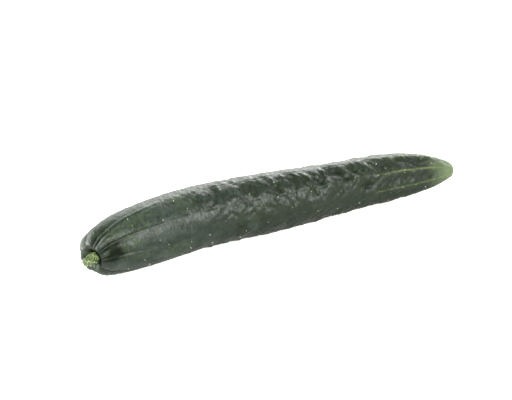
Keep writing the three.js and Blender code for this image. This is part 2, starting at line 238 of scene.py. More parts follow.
# How each vein bends near the stem: its grid angle, its turn and the reach of the bend, in degrees
VEIN_BENDS = [(0, 9, 45), (45, -4, 45), (90, -9, 50)]
LOBE_HEIGHT = 0.25
VALLEY_DEPTH = 1.7
VALLEY_LENGTH = 17
VALLEY_ANGLE = 12
VEIN_HEIGHT = 1.0
VEIN_LENGTH = 24
VEIN_WIDTH = 0.65
FACET_HEIGHT = 0.4
FACET_RADIUS = 12
FACET_FROM = 120
FACET_FULL = 185
# Swells, lumps and fine unevenness
SWELL_HEIGHT = 0.3
SWELL_LENGTH = 13
SWELL_TWIST = 2.1
SWELL_PHASE = 0.8
LUMP_SEED = 5
LUMP_WAVES = 16
LUMP_HEIGHT = 0.08
LUMP_SHORTEST = 9
LUMP_LONGEST = 26
LUMP_MOST_ROUND = 9
FINE_SEED = 11
FINE_WAVES = 44
FINE_HEIGHT = 0.023
FINE_SHORTEST = 3.2
FINE_LONGEST = 8
FINE_MOST_ROUND = 26
FINE_SHARE = 0.3
# The thin, broken groove along each vein past the stem end
GROOVE_DEPTH = 0.22
GROOVE_WIDTH = 0.6
GROOVE_FROM = 40
GROOVE_TO = 175
GROOVE_LENGTH = 23
# Warts and the dents beside them
WART_SEED = 20
WARTS = 150
WART_END_MARGIN = 7
WART_STRAY = 9
WART_STRAY_ANGLE = 30
WART_SMALLEST = 0.6
WART_LARGEST = 1.2
WART_HEIGHT = 0.35
WART_WIDTH = 1.6
DENT_DEPTH = 0.8
DENT_LENGTH = 3
DENT_WIDTH = 1.8
DENT_OFFSET = 3.6
DENT_GONE_SIZE = 1.3
DENT_SLANT = 70
SPREAD_ALONG = 0.7548777
SPREAD_ROUND = 0.5698403
# Where the skin is lumpy, and where it is calm
LUMPY_FROM = 48
LUMPY_FULL = 84
CALM_FROM = 165
CALM_SHARE = 0.45
SMOOTH_SHARE = 0.16
BELLY_ANGLE = 270
BELLY_HALF_ANGLE = 24
SMOOTH_SIDE_ANGLE = 62
SMOOTH_SIDE_HALF_ANGLE = 20
SMOOTH_SIDE_CALM = 0.8
# The marks placed one by one: the distance, angle, height, length, width and slant of each
MAIN_MARKS = [
    (8, 151, -1.5, 5, 3, 0),
    (144, 108, -1.3, 7, 3, 0),
    (139, 132, 0.8, 5.5, 1.8, 50),
    (149, 125, -1, 3, 1.8, 20),
    (153.5, 132, 0.7, 3.2, 2.2, 0),
    (133, 118, -0.9, 4, 2.4, 0),
    (129, 140, -0.6, 4, 3, -30),
    (200, 163, -0.8, 1.7, 1.6, 0),
    (162, 156, -0.7, 2.6, 2.2, 0),
    (91, 138, -0.6, 2, 2.4, 60),
    (76, 141, -0.5, 1.8, 1.6, 0),
    (82, 154, -0.6, 1.8, 1.6, 0),
    (100, 151, -0.6, 2, 1.8, 0),
    (117, 262, -0.4, 5, 3, 0),
    (108, 20, -1, 6, 3.4, 15),
    (126, 345, -0.9, 5, 3, -25),
    (88, 50, -0.8, 5, 2.6, 30),
    (152, 30, -0.9, 6, 2.8, 0),
    (166, 330, -0.7, 4, 2.4, 40),
    (134, 70, -0.8, 4.5, 2.6, -20),
]
DRAW_FACTOR = 16807
DRAW_RANGE = 2147483647
WELD_DISTANCE = 0.002 * MM


def draw_from(seed):
    """A repeatable random draw between 0 and 1, the same on every run."""
    state = seed
    while True:
        state = state * DRAW_FACTOR % DRAW_RANGE
        yield state / DRAW_RANGE


def smoothstep(value, low, high):
    """Goes smoothly from 0 at low to 1 at high."""
    share = np.clip((value - low) / (high - low), 0, 1)
    return share * share * (3 - 2 * share)


def turn_between(start, end):
    """The shortest way round from one angle to another, in degrees."""
    return (end - start + 180) % 360 - 180


def heading(distance):
    """The direction of the axis in plan, in radians from +X."""
    past = np.maximum(distance, 0)
    stem_end = STEM_END_TURN * np.exp(-past / STEM_END_TURN_LENGTH)
    blossom_end = BLOSSOM_END_TURN * (past / LENGTH) ** BLOSSOM_END_TURN_POWER
    return np.radians(stem_end + blossom_end)


axis_distances = np.arange(-AXIS_BEFORE, LENGTH + AXIS_AFTER, AXIS_STEP)
axis_headings = heading(axis_distances + AXIS_STEP / 2)
axis_x = np.concatenate([[0], np.cumsum(np.cos(axis_headings[:-1]) * AXIS_STEP)])
axis_y = np.concatenate([[0], np.cumsum(np.sin(axis_headings[:-1]) * AXIS_STEP)])


def around(distance, radius, angle):
    """Points at a radius from the bent axis, in the plane across it at that distance, in millimetres."""
    near_pit = 1 - smoothstep(distance, *PIT_PUSH_DISTANCES)
    push = PIT_PUSH * near_pit * (1 - smoothstep(radius, *PIT_PUSH_RADII))
    from_push = np.radians(angle - PIT_PUSH_ANGLE)
    cock = PIT_COCK * near_pit * np.minimum(1, radius / RIM_RADIUS) * np.cos(from_push)
    sideways = radius * np.cos(np.radians(angle)) + push * math.cos(math.radians(PIT_PUSH_ANGLE))
    higher = radius * np.sin(np.radians(angle)) + push * math.sin(math.radians(PIT_PUSH_ANGLE))
    turn = heading(distance)
    distance = distance + cock
    x = np.interp(distance, axis_distances, axis_x) - np.interp(REST_DISTANCE, axis_distances, axis_x)
    y = np.interp(distance, axis_distances, axis_y) - np.interp(REST_DISTANCE, axis_distances, axis_y)
    swing = np.cos(2 * np.pi * (distance - SWAY_CREST) / SWAY_LENGTH)
    y = y + SWAY * smoothstep(distance, SWAY_FROM, SWAY_CREST) * swing
    z = AXIS_HEIGHT - BLOSSOM_DROP * (np.maximum(distance, 0) / LENGTH) ** BLOSSOM_DROP_POWER - FLAT_DEPTH
    z = z + (distance - REST_DISTANCE) ** 2 / (2 * ROCKER_RADIUS)
    return np.stack([x - sideways * np.sin(turn), y + sideways * np.cos(turn), z + higher], axis=-1)


def spline_points(outline, per_span):
    """A smooth curve through the outline's points, as many to each span."""
    corners = np.array([outline[0], *outline, outline[-1]], dtype=float)
    points = []
    for a, b, c, d in zip(corners, corners[1:], corners[2:], corners[3:]):
        for t in np.arange(per_span) / per_span:
            leave, arrive = (c - a) / 2, (d - b) / 2
            points.append(
                (2 * b - 2 * c + leave + arrive) * t**3 + (3 * c - 3 * b - 2 * leave - arrive) * t**2
                + leave * t + b
            )
    return np.array([*points, corners[-1]])


def ring_points(outline, rings, crowding):
    """Outline points for the rings, closer together at both ends, where the surface curves most."""
    fine = spline_points(outline, OUTLINE_STEPS)
    run = np.concatenate([[0], np.cumsum(np.hypot(*np.diff(fine, axis=0).T))])
    share = np.arange(rings + 1) / rings
    eased = share - crowding * np.sin(2 * np.pi * share) / (2 * np.pi)
    return np.stack([np.interp(eased * run[-1], run, fine[:, k]) for k in (0, 1)], axis=-1)


def spin_outline(name, points, sides):
    """Extrudes one corner along an outline of [distance, radius] points and spins it about the X axis."""
    start_fresh()
    bpy.ops.mesh.primitive_plane_add(size=MM)
    piece = bpy.context.object
    piece.name = name
    bpy.ops.object.mode_set(mode="EDIT")
    bpy.ops.mesh.select_all(action="SELECT")
    bpy.ops.mesh.merge(type="CENTER")
    steps = np.diff(points, axis=0, prepend=[[0, 0]]) * MM
    bpy.ops.transform.translate(value=(steps[0][0], steps[0][1], 0))
    for along, out in steps[1:]:
        bpy.ops.mesh.extrude_region_move(TRANSFORM_OT_translate={"value": (along, out, 0)})
    bpy.ops.mesh.select_all(action="SELECT")
    bpy.ops.mesh.spin(steps=sides, angle=2 * math.pi, center=(0, 0, 0), axis=(1, 0, 0))
    bpy.ops.mesh.select_all(action="SELECT")
    bpy.ops.mesh.remove_doubles(threshold=WELD_DISTANCE)
    bpy.ops.mesh.normals_make_consistent(inside=False)
    bpy.ops.object.mode_set(mode="OBJECT")
    return piece


def apply_subdivision(piece, levels):
    """Divides the piece's faces and smooths it."""
    modifier = piece.modifiers.new("smooth", "SUBSURF")
    modifier.levels = levels
    modifier.render_levels = levels
    bpy.context.view_layer.objects.active = piece
    bpy.ops.object.modifier_apply(modifier=modifier.name)


def read_points(piece):
    """The piece's corners, in millimetres."""
    flat = np.empty(len(piece.data.vertices) * 3)
    piece.data.vertices.foreach_get("co", flat)
    return flat.reshape(-1, 3) / MM


def write_points(piece, points):
    """Puts the piece's corners at these points, given in millimetres."""
    piece.data.vertices.foreach_set("co", (points * MM).ravel())
    piece.data.update()


outline_fine = spline_points(FRUIT_OUTLINE, OUTLINE_STEPS)
outside = outline_fine[(outline_fine[:, 1] > RIM_RADIUS) & (outline_fine[:, 0] < LENGTH / 2)]
blossom_half = outline_fine[(outline_fine[:, 0] >= LENGTH / 2) & (outline_fine[:, 1] > SCAR_RADIUS)]
body_line = np.concatenate([outside, blossom_half])
body_line = body_line[np.argsort(body_line[:, 0])]


def body_radius(distance):
    """The smooth body's radius at a distance, outside the pit."""
    return np.interp(distance, body_line[:, 0], body_line[:, 1])


def lumpiness(distance, angle):
    """How lumpy the skin is at a place, from 0 to 1."""
    rise = SMOOTH_SHARE + (1 - SMOOTH_SHARE) * smoothstep(distance, LUMPY_FROM, LUMPY_FULL)
    calm = 1 - (1 - CALM_SHARE) * smoothstep(distance, CALM_FROM, LENGTH)
    belly = np.exp(-((turn_between(BELLY_ANGLE, angle) / BELLY_HALF_ANGLE) ** 2))
    from_smooth = turn_between(SMOOTH_SIDE_ANGLE, angle) / SMOOTH_SIDE_HALF_ANGLE
    smooth_side = 1 - SMOOTH_SIDE_CALM * np.exp(-(from_smooth**2))
    return rise * calm * (1 - belly) * smooth_side


def wave_field(seed, count, height, shortest, longest, most_round):
    """Waves for an uneven skin: the height, length along the fruit, number round it and phase of each."""
    draw = draw_from(seed)
    return [
        (height, shortest + (longest - shortest) * next(draw), round(most_round * (2 * next(draw) - 1)),
         2 * math.pi * next(draw))
        for _ in range(count)
    ]


def wave_relief(waves, distance, angle):
    """The height of a sum of waves at each place."""
    return sum(
        height * np.sin(2 * np.pi * distance / length + number * np.radians(angle) + phase)
        for height, length, number, phase in waves
    )


lump_waves = wave_field(LUMP_SEED, LUMP_WAVES, LUMP_HEIGHT, LUMP_SHORTEST, LUMP_LONGEST, LUMP_MOST_ROUND)
fine_waves = wave_field(FINE_SEED, FINE_WAVES, FINE_HEIGHT, FINE_SHORTEST, FINE_LONGEST, FINE_MOST_ROUND)


def grow_warts():
    """Warts spread by the golden-ratio rule in two directions, each nudged by a draw, with a dent beside."""
    draw = draw_from(WART_SEED)
    marks = []
    for i in range(1, WARTS + 1):
        spread = WART_END_MARGIN + (LENGTH - 2 * WART_END_MARGIN) * (i * SPREAD_ALONG % 1)
        distance = spread + WART_STRAY * (next(draw) - 0.5)
        angle = 360 * (i * SPREAD_ROUND % 1) + WART_STRAY_ANGLE * (next(draw) - 0.5)
        size = WART_SMALLEST + (WART_LARGEST - WART_SMALLEST) * next(draw)
        side = math.radians(360 * next(draw))
        slant = DENT_SLANT * (next(draw) - 0.5)
        lumpy = lumpiness(distance, angle)
        marks.append((distance, angle, WART_HEIGHT * size * lumpy, WART_WIDTH * size, WART_WIDTH, slant))
        across = math.degrees(DENT_OFFSET * math.sin(side) / body_radius(distance))
        depth = DENT_DEPTH * (DENT_GONE_SIZE - size) * lumpy
        marks.append((distance + DENT_OFFSET * math.cos(side), angle + across, -depth,
                      DENT_LENGTH * size, DENT_WIDTH * size, slant))
    return marks


wart_marks = grow_warts()
wart_places = [mark[:2] for mark in wart_marks[::2]]


def mark_relief(distance, angle):
    """The height of all warts and dents at each place."""
    height = np.zeros_like(distance)
    for mark_distance, mark_angle, rise, length, width, slant in wart_marks + MAIN_MARKS:
        along = distance - mark_distance
        across = np.radians(turn_between(mark_angle, angle)) * body_radius(mark_distance)
        cos, sin = math.cos(math.radians(slant)), math.sin(math.radians(slant))
        u = (along * cos + across * sin) / length
        v = (across * cos - along * sin) / width
        height += rise * np.exp(-(u * u + v * v))
    return height


def skin_angle(distance, grid_angle):
    """The angle on the skin for one of the grid: the veins aren't quite even, and some bend near the stem."""
    wander = VEIN_WANDER * np.sin(np.radians(grid_angle * 2 + VEIN_WANDER_PHASE))
    near_stem = np.exp(-((distance / VEIN_BEND_LENGTH) ** 2))
    angle = FIRST_VEIN_ANGLE + grid_angle + wander
    for vein, turn, reach in VEIN_BENDS:
        off = np.minimum(1, np.abs(turn_between(vein, grid_angle)) / reach)
        angle = angle + turn * near_stem * (0.5 + 0.5 * np.cos(np.pi * off))
    return angle


def from_vein(grid_angle):
    """The angle from the nearest vein, in degrees."""
    spacing = 360 / VEINS
    return (grid_angle + spacing / 2) % spacing - spacing / 2


def relief(distance, grid_angle, radius):
    """How far the skin stands out from the smooth body at a place, in millimetres."""
    off = from_vein(grid_angle)
    near_stem = np.exp(-((distance / VALLEY_LENGTH) ** 2))
    lobe = near_stem * (LOBE_HEIGHT - VALLEY_DEPTH * np.exp(-((off / VALLEY_ANGLE) ** 2)))
    from_line = np.radians(off) * radius
    vein = VEIN_HEIGHT * np.exp(-distance / VEIN_LENGTH) * np.exp(-((from_line / VEIN_WIDTH) ** 2))
    facet = FACET_HEIGHT * smoothstep(distance, FACET_FROM, FACET_FULL) * np.minimum(1, radius / FACET_RADIUS)
    facet = facet * np.cos(np.radians(VEINS * off))
    angle = skin_angle(distance, grid_angle)
    twist = SWELL_TWIST * np.cos(np.radians(angle) + SWELL_PHASE)
    swell = SWELL_HEIGHT * np.sin(distance / SWELL_LENGTH + twist)
    lumpy = lumpiness(distance, angle)
    uneven = lumpy * (swell + wave_relief(lump_waves, distance, angle))
    fine = (FINE_SHARE + (1 - FINE_SHARE) * lumpy) * wave_relief(fine_waves, distance, angle)
    starts = smoothstep(distance, GROOVE_FROM, 2 * GROOVE_FROM)
    ends = smoothstep(-distance, -GROOVE_TO, GROOVE_FROM - GROOVE_TO)
    broken = 0.5 + 0.5 * np.sin(2 * np.pi * distance / GROOVE_LENGTH + angle)
    groove = GROOVE_DEPTH * (starts * ends) * broken * np.exp(-((from_line / GROOVE_WIDTH) ** 2))
    return lobe + vein + facet + uneven + fine - groove + mark_relief(distance, angle)


skin = spin_outline("fruit_skin", ring_points(FRUIT_OUTLINE, FRUIT_RINGS, END_RING_CROWDING), FRUIT_SIDES)
apply_subdivision(skin, SUBDIVISIONS)
straight = read_points(skin)
skin_distance = straight[:, 0]
skin_radius = np.hypot(straight[:, 1], straight[:, 2])
skin_grid_angle = np.degrees(np.arctan2(straight[:, 2], straight[:, 1]))
fade = smoothstep(skin_radius, 0, POLE_RADIUS)
grown = skin_radius + fade * relief(skin_distance, skin_grid_angle, skin_radius)
skin_turn = skin_angle(skin_distance, skin_grid_angle)
placed = around(skin_distance, grown, skin_turn)
placed[:, 2] = np.maximum(placed[:, 2], 0)
write_points(skin, placed)


def add_attribute(piece, name, values):
    """Stores a number or a vector for each corner, for the material to read."""
    kind, key = ("FLOAT", "value") if values.ndim == 1 else ("FLOAT_VECTOR", "vector")
    attribute = piece.data.attributes.new(name, kind, "POINT")
    attribute.data.foreach_set(key, values.ravel())


vein_gap = np.abs(np.radians(from_vein(skin_grid_angle))) * skin_radius
add_attribute(skin, "straight_place", straight)
add_attribute(skin, "vein_gap", vein_gap)
add_attribute(skin, "rise", grown - skin_radius)
add_attribute(skin, "lumpy", lumpiness(skin_distance, skin_turn))
bpy.ops.object.select_all(action="DESELECT")
skin.select_set(True)
bpy.ops.object.shade_smooth()

# Waxed cucumber skin: dark green cells under a thin grey bloom of wax, which lies thickest on the lumps and
# thinnest in the hollows, and the hollows are darkened further with painted shade. It is matt and finely
# wrinkled across, so the highlight breaks into grainy patches. The green deepens from the stem end to the
# middle, partly as painted shade, and turns pale at the blossom end, where the veins are yellow-green
# streaks. Sizes and distances are in millimetres.
SKIN_DARK = "#192515"
SKIN_MID = "#222f1e"
SKIN_MOTTLE = "#3c4f2a"
SKIN_BLOOM = "#49554e"
SKIN_DEEP_AND_SHADE = "#16220f"
SKIN_VEIN = "#1d2c12"
SKIN_PALE = "#697a57"
SKIN_HOLLOW_SHADE = "#0e1809"
SKIN_STREAK = "#66783f"
# Lighter and darker patches, stretched along the fruit
PATCH_SIZE = 9
PATCH_STRETCH = 0.35
PATCH_EDGES = (0.35, 0.65)
# Small yellow-green mottling, in zones twice as large as the patches
MOTTLE_SIZE = 2.4
MOTTLE_EDGES = (0.42, 0.68)
MOTTLE_SHARE = 0.7
MOTTLE_ZONE_EDGES = (0.48, 0.62)
# Fine wrinkles across the fruit, and a finer grain
WRINKLE_SIZE = 1.5
WRINKLE_STRETCH = (1.5, 0.6, 0.6)
WRINKLE_EDGES = (0.3, 0.7)
WRINKLE_HEIGHT = 0.34 * MM
GRAIN_SIZE = 0.8
GRAIN_HEIGHT = 0.1 * MM
# Low knobs, which are slighter where the skin is calm
KNOB_SIZE = 4.5
KNOB_HEIGHT = 0.4 * MM
KNOB_CALM_SHARE = 0.2
# The grey bloom, which follows the wrinkles a little and how far the skin is raised. Where it thins in the
# hollows it also darkens them as painted shade
BLOOM_SIZE = 4
BLOOM_WRINKLE_SHARE = 0.35
BLOOM_EDGES = (0.5, 0.86)
BLOOM_SHARE = (0.04, 0.62)
RAISED = (-0.4, 0.5)
RAISED_BLOOM = (0.25, 1.2)
# Painted shade in the hollows, by how far the skin is sunk: black-green and matt near the stem, less so
# further on. It stands partly for the darker, less waxed skin there
HOLLOW_RISE = (-1.3, -0.35)
HOLLOW_NEAR = (15, 40)
HOLLOW_SHADE_SHARE = (0.95, 0.4)
HOLLOW_FULL = 0.8
SKIN_SPECULAR = 0.5
HOLLOW_SPECULAR = 0.12
# The deeper green, by the distance along the fruit: partly the skin's own colour and partly painted shade
# over the far half
DEEP_FROM = 62
DEEP_FULL = 110
DEEP_SHARE = 0.75
# The pale blossom end, with an uneven edge
PALE_FROM = 202
PALE_FULL = LENGTH + 8
PALE_EDGE_SIZE = 2.5
PALE_EDGE_STRAY = 14
# The streaks on the veins of the blossom half, uneven at their edges and broken where they begin
STREAK_FROM = 105
STREAK_FULL = 192
STREAK_WIDTH = 0.8
STREAK_EDGE_SIZE = 1.1
STREAK_EDGE_STRAY = 1.5
STREAK_MIDDLE = 0.7
STREAK_BREAK_SIZE = 1.6
STREAK_BREAK_EDGES = (1.15, 1.68)
STREAK_SHARE = 0.75
# The dark line along each vein, which hardly shows near the stem
VEIN_LINE_EDGES = (0.2, 1.3)
VEIN_LINE_SHARE = 0.7
VEIN_LINE_BREAK_SIZE = 4
VEIN_LINE_BREAK_EDGES = (0.4, 0.62)
VEIN_LINE_FADE = (45, 85)
VEIN_LINE_LEAST = 0.15
# Matt wax, a little rougher in the blossom half
SKIN_IOR = 1.42
SKIN_ROUGHNESS = (0.37, 0.54)
ROUGHER_AT = (120, 185)
ROUGHER_BY = 0.07


def noise(tree, vector, size, detail=3.0):
    """A noise between 0 and 1, with features of a size in the vector's own unit."""
    node = add_node(tree, "ShaderNodeTexNoise", Vector=vector, Scale=1 / size, Detail=detail)
    return node.outputs["Fac"]


def remap(tree, value, low, high, to_low=0.0, to_high=1.0):
    """Takes a value's range from low to high smoothly to another one."""
    return add_node(
        tree, "ShaderNodeMapRange", {"interpolation_type": "SMOOTHSTEP"},
        Value=value, From_Min=low, From_Max=high, To_Min=to_low, To_Max=to_high,
    ).outputs["Result"]


def reckon(tree, operation, *values):
    """One step of arithmetic on numbers or sockets."""
    inputs = {f"i{k}": value for k, value in enumerate(values)}
    return add_node(tree, "ShaderNodeMath", {"operation": operation}, **inputs).outputs[0]


def blend_colour(tree, share, below, above):
    """Mixes two colours, each a hex value or a socket."""
    below, above = (linear(c) if isinstance(c, str) else c for c in (below, above))
    return add_node(tree, "ShaderNodeMix", {"data_type": "RGBA"}, i0=share, i6=below, i7=above).outputs[2]


skin_material, tree, shader = new_material("waxy_cucumber_skin")
place = add_node(tree, "ShaderNodeAttribute", {"attribute_name": "straight_place"}).outputs["Vector"]
gap = add_node(tree, "ShaderNodeAttribute", {"attribute_name": "vein_gap"}).outputs["Fac"]
rise = add_node(tree, "ShaderNodeAttribute", {"attribute_name": "rise"}).outputs["Fac"]
lumpy = add_node(tree, "ShaderNodeAttribute", {"attribute_name": "lumpy"}).outputs["Fac"]
stretched = add_node(tree, "ShaderNodeMapping", Vector=place, Scale=(PATCH_STRETCH, 1, 1)).outputs[0]
squeezed = add_node(tree, "ShaderNodeMapping", Vector=place, Scale=WRINKLE_STRETCH).outputs[0]
distance_along = add_node(tree, "ShaderNodeSeparateXYZ", Vector=place).outputs["X"]

patches = remap(tree, noise(tree, stretched, PATCH_SIZE, detail=4), *PATCH_EDGES)
mottle_zone = remap(tree, noise(tree, stretched, 2 * PATCH_SIZE, detail=1), *MOTTLE_ZONE_EDGES)
mottle = remap(tree, noise(tree, place, MOTTLE_SIZE), *MOTTLE_EDGES, 0, MOTTLE_SHARE)
mottle = reckon(tree, "MULTIPLY", mottle, mottle_zone)

wrinkles = noise(tree, squeezed, WRINKLE_SIZE, detail=4)
bloom_wrinkles = reckon(tree, "MULTIPLY", wrinkles, BLOOM_WRINKLE_SHARE)
bloom_patch = reckon(tree, "ADD", noise(tree, stretched, BLOOM_SIZE, detail=5), bloom_wrinkles)
bloom_and_shade = remap(tree, bloom_patch, *BLOOM_EDGES, *BLOOM_SHARE)
# Less bloom where the skin is sunk: the wax bloom, plus painted shade in the hollows
bloom_and_shade = reckon(tree, "MULTIPLY", bloom_and_shade, remap(tree, rise, *RAISED, *RAISED_BLOOM))

# Partly the skin's deeper green, partly painted shade from the middle on
deep_and_shade = remap(tree, distance_along, DEEP_FROM, DEEP_FULL, 0, DEEP_SHARE)
# Painted shade: how far the skin is sunk darkens it, most near the stem
hollow_shade = remap(tree, rise, *HOLLOW_RISE, 1, 0)
hollow_shade = reckon(tree, "MULTIPLY", hollow_shade, remap(tree, distance_along, *HOLLOW_NEAR, *HOLLOW_SHADE_SHARE))
pale_edge = noise(tree, stretched, PALE_EDGE_SIZE)
pale_edge = reckon(tree, "MULTIPLY_ADD", pale_edge, PALE_EDGE_STRAY, distance_along)
pale = remap(tree, pale_edge, PALE_FROM, PALE_FULL)

streak_edge = noise(tree, place, STREAK_EDGE_SIZE)
streak_edge = reckon(tree, "MULTIPLY_ADD", streak_edge, -STREAK_EDGE_STRAY, gap)
streak_line = remap(tree, streak_edge, -STREAK_MIDDLE, STREAK_WIDTH - STREAK_MIDDLE, 1, 0)
streak_zone = remap(tree, distance_along, STREAK_FROM, STREAK_FULL)
streak_break = reckon(tree, "ADD", noise(tree, stretched, STREAK_BREAK_SIZE, detail=5), streak_zone)
streak_break = remap(tree, streak_break, *STREAK_BREAK_EDGES, 0, STREAK_SHARE)
streak = reckon(tree, "MULTIPLY", streak_line, streak_break)

vein_line = remap(tree, gap, *VEIN_LINE_EDGES, VEIN_LINE_SHARE, 0)
vein_break = remap(tree, noise(tree, stretched, VEIN_LINE_BREAK_SIZE), *VEIN_LINE_BREAK_EDGES)
vein_line = reckon(tree, "MULTIPLY", vein_line, vein_break)
vein_shows = remap(tree, distance_along, *VEIN_LINE_FADE, VEIN_LINE_LEAST, 1)
vein_line = reckon(tree, "MULTIPLY", vein_line, vein_shows)

colour = blend_colour(tree, patches, SKIN_DARK, SKIN_MID)
colour = blend_colour(tree, mottle, colour, SKIN_MOTTLE)
colour = blend_colour(tree, bloom_and_shade, colour, SKIN_BLOOM)
colour = blend_colour(tree, deep_and_shade, colour, SKIN_DEEP_AND_SHADE)
colour = blend_colour(tree, vein_line, colour, SKIN_VEIN)
colour = blend_colour(tree, pale, colour, SKIN_PALE)
# Painted shade in the hollows, partly the darker skin near the stem
colour = blend_colour(tree, hollow_shade, colour, SKIN_HOLLOW_SHADE)
colour = blend_colour(tree, streak, colour, SKIN_STREAK)
tree.links.new(colour, shader.inputs["Base Color"])

rough = remap(tree, wrinkles, *WRINKLE_EDGES, *SKIN_ROUGHNESS)
rougher = remap(tree, distance_along, *ROUGHER_AT, 0, ROUGHER_BY)
tree.links.new(reckon(tree, "ADD", rough, rougher), shader.inputs["Roughness"])
specular = remap(tree, hollow_shade, 0, HOLLOW_FULL, SKIN_SPECULAR, HOLLOW_SPECULAR)
tree.links.new(specular, shader.inputs["Specular IOR Level"])
shader.inputs["IOR"].default_value = SKIN_IOR

knob_share = remap(tree, lumpy, 0, 1, KNOB_CALM_SHARE, 1)
knobs = reckon(tree, "MULTIPLY", noise(tree, place, KNOB_SIZE, detail=2), knob_share)
knobbly = add_node(tree, "ShaderNodeBump", Strength=1.0, Distance=KNOB_HEIGHT, Height=knobs)
wrinkled = add_node(
    tree, "ShaderNodeBump", Strength=1.0, Distance=WRINKLE_HEIGHT, Height=wrinkles,
    Normal=knobbly.outputs["Normal"],
)
grain = add_node(
    tree, "ShaderNodeBump", Strength=1.0, Distance=GRAIN_HEIGHT,
    Height=noise(tree, place, GRAIN_SIZE), Normal=wrinkled.outputs["Normal"],
)
tree.links.new(grain.outputs["Normal"], shader.inputs["Normal"])
skin.data.materials.append(skin_material)
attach(skin, "root")
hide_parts("fruit")


# The spines: short prickles that grow on the warts, broken off at less than a millimetre. They are dry and
# pale, round in section, and stand on a small swollen foot. None grows where the belly lies.
SPINE_RADIUS = 0.19 * MM
SPINE_HEIGHT = 0.8 * MM
SPINE_SIDES = 7
SPINE_FOOT_RADIUS = 0.32 * MM
SPINE_FOOT_HEIGHT = 0.25 * MM
SPINE_ROOT = 0.3 * MM
SPINE_CLEARANCE = 1.2
SPINE_LEAN = 0.35
SPINE_SMALLEST = 0.45
SPINE_LARGEST = 1.0
SPINE_SEED = 31
PRICKLE_TIP_SHARE = 0.25
FACES_DOWN = -0.9
GRID_ANGLE_STEPS = 12
# A short step over a surface, in millimetres along it or in degrees round it
STEP = 0.5


def skin_point(distance, angle):
    """The point of the skin at a distance and an angle, in millimetres."""
    grid_angle = angle - FIRST_VEIN_ANGLE
    for _ in range(GRID_ANGLE_STEPS):
        grid_angle = grid_angle - turn_between(angle, skin_angle(distance, grid_angle))
    radius = body_radius(distance)
    return around(distance, radius + relief(distance, grid_angle, radius), angle)


def skin_normal(distance, angle):
    """The way out of the skin at a distance and an angle, from two short steps over it."""
    here = skin_point(distance, angle)
    along = skin_point(distance + STEP, angle) - here
    across = skin_point(distance, angle + STEP) - here
    return Vector(np.cross(across, along)).normalized()


def copy_at(pattern, point, normal, size):
    """A copy of a piece with its own mesh, stood on a point in millimetres along a normal."""
    piece = pattern.copy()
    piece.data = pattern.data.copy()
    bpy.context.collection.objects.link(piece)
    turn = normal.to_track_quat("Z", "Y").to_matrix().to_4x4()
    piece.data.transform(Matrix.Translation(Vector(point) * MM) @ turn @ Matrix.Scale(size, 4))
    return piece


def join_copies(name, pieces, pattern):
    """Joins copies into one piece, and removes the pattern that they were copied from."""
    bpy.data.objects.remove(pattern, do_unlink=True)
    bpy.ops.object.select_all(action="DESELECT")
    for piece in pieces:
        piece.select_set(True)
    bpy.context.view_layer.objects.active = pieces[0]
    bpy.ops.object.join()
    joined = bpy.context.object
    joined.name = name
    joined.data.name = name
    return joined


def make_prickle(radius, height, sides, foot_radius, foot_height, root):
    """One prickle on the Z axis: a cone whose base is drawn out into a low foot and a root below it."""
    start_fresh()
    bpy.ops.mesh.primitive_cone_add(
        vertices=sides, radius1=radius, radius2=PRICKLE_TIP_SHARE * radius, depth=height - foot_height,
        location=(0, 0, (height + foot_height) / 2),
    )
    prickle = bpy.context.object
    bpy.ops.object.transform_apply(location=True, rotation=False, scale=False)
    bpy.ops.object.mode_set(mode="EDIT")
    bpy.ops.mesh.select_all(action="DESELECT")
    bpy.ops.object.mode_set(mode="OBJECT")
    for face in prickle.data.polygons:
        face.select = face.normal.z < FACES_DOWN
    bpy.ops.object.mode_set(mode="EDIT")
    bpy.ops.mesh.extrude_region_move(TRANSFORM_OT_translate={"value": (0, 0, -foot_height)})
    flare = foot_radius / radius
    bpy.ops.transform.resize(value=(flare, flare, 1))
    bpy.ops.mesh.extrude_region_move(TRANSFORM_OT_translate={"value": (0, 0, -root)})
    bpy.ops.object.mode_set(mode="OBJECT")
    bpy.ops.object.shade_smooth()
    return prickle


prickle = make_prickle(
    SPINE_RADIUS, SPINE_HEIGHT, SPINE_SIDES, SPINE_FOOT_RADIUS, SPINE_FOOT_HEIGHT, SPINE_ROOT
)
draw = draw_from(SPINE_SEED)
spine_copies = []
for distance, angle in wart_places:
    point = skin_point(distance, angle)
    lean = Vector((next(draw) - 0.5, next(draw) - 0.5, next(draw) - 0.5)) * SPINE_LEAN
    size = SPINE_SMALLEST + (SPINE_LARGEST - SPINE_SMALLEST) * next(draw)
    if point[2] > SPINE_CLEARANCE:
        spine_copies.append(copy_at(prickle, point, skin_normal(distance, angle) + lean, size))
spines = join_copies("spines", spine_copies, prickle)

# Dry spine: dead, horny plant hair, matt and faintly fibrous, cream on some spines and greener on others
SPINE_CREAM = "#cbd0ae"
SPINE_GREEN = "#8f9c6c"
TINT_EDGES = (0.4, 0.6)
SPINE_TINT_SIZE = 3 * MM
SPINE_FIBRE_SIZE = 0.2 * MM
SPINE_FIBRE_HEIGHT = 0.05 * MM
SPINE_FIBRE_STRENGTH = 0.4
SPINE_ROUGHNESS = 0.6

spine_material, tree, shader = new_material("dry_cucumber_spine")
spine_place = add_node(tree, "ShaderNodeTexCoord").outputs["Object"]
tint = remap(tree, noise(tree, spine_place, SPINE_TINT_SIZE, detail=1), *TINT_EDGES)
tree.links.new(blend_colour(tree, tint, SPINE_CREAM, SPINE_GREEN), shader.inputs["Base Color"])
spine_fibres = add_node(
    tree, "ShaderNodeBump", Strength=SPINE_FIBRE_STRENGTH, Distance=SPINE_FIBRE_HEIGHT,
    Height=noise(tree, spine_place, SPINE_FIBRE_SIZE),
)
tree.links.new(spine_fibres.outputs["Normal"], shader.inputs["Normal"])
shader.inputs["Roughness"].default_value = SPINE_ROUGHNESS
spines.data.materials.append(spine_material)
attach(spines, "root")
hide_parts("fruit")


